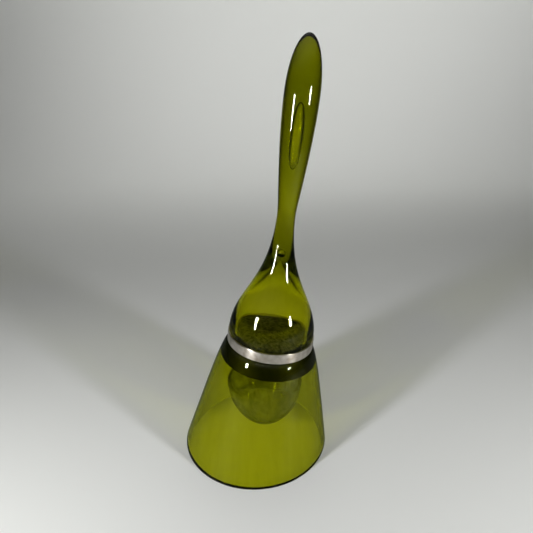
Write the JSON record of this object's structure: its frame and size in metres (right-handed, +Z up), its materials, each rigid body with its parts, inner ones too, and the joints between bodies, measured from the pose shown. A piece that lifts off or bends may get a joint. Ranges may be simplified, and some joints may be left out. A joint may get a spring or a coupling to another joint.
{
  "type": "glass hand bell",
  "caption": "Hand bell of olive green glass: conical skirt, silver collar, hollow bulb, long solid handle with an air bubble, hollow glass clapper on a link.",
  "frame": {"origin": "centre of the ground rim, in the plane that the bell stands on", "axes": "+Z up from the rim's plane; the glass axis leans 6.7 degrees from +Z towards +X"},
  "size_m": [0.095, 0.0944, 0.2467],
  "materials": {
    "green_glass": "polished",
    "handle_glass": "polished",
    "clapper_glass": "polished",
    "silver": "worn silver plate, slightly tarnished",
    "cement": "plaster cement",
    "dark_rubber": "matt",
    "wire_metal": "plain wire"
  },
  "bodies": {
    "bell": {"handle_bulb": "handle_glass", "skirt": "green_glass", "collar": "silver", "upper_seat": "cement", "lower_seat": "cement", "joint_gasket": "dark_rubber", "neck_bung": "dark_rubber", "hanger_eye": "wire_metal"},
    "link": {"clapper_link": "wire_metal"},
    "clapper": {"clapper": "clapper_glass", "clapper_cap": "wire_metal"}
  },
  "joints": [
    {"name": "link_swing", "type": "hinge", "parent": "bell", "child": "link", "pos_m": [0.0068, 0, 0.0696], "axis": [0, 1, 0], "range_deg": [-13, 13]},
    {"name": "clapper_swing", "type": "hinge", "parent": "link", "child": "clapper", "pos_m": [0.0068, 0, 0.0637], "axis": [1, 0, 0], "range_deg": [-13, 13]}
  ]
}
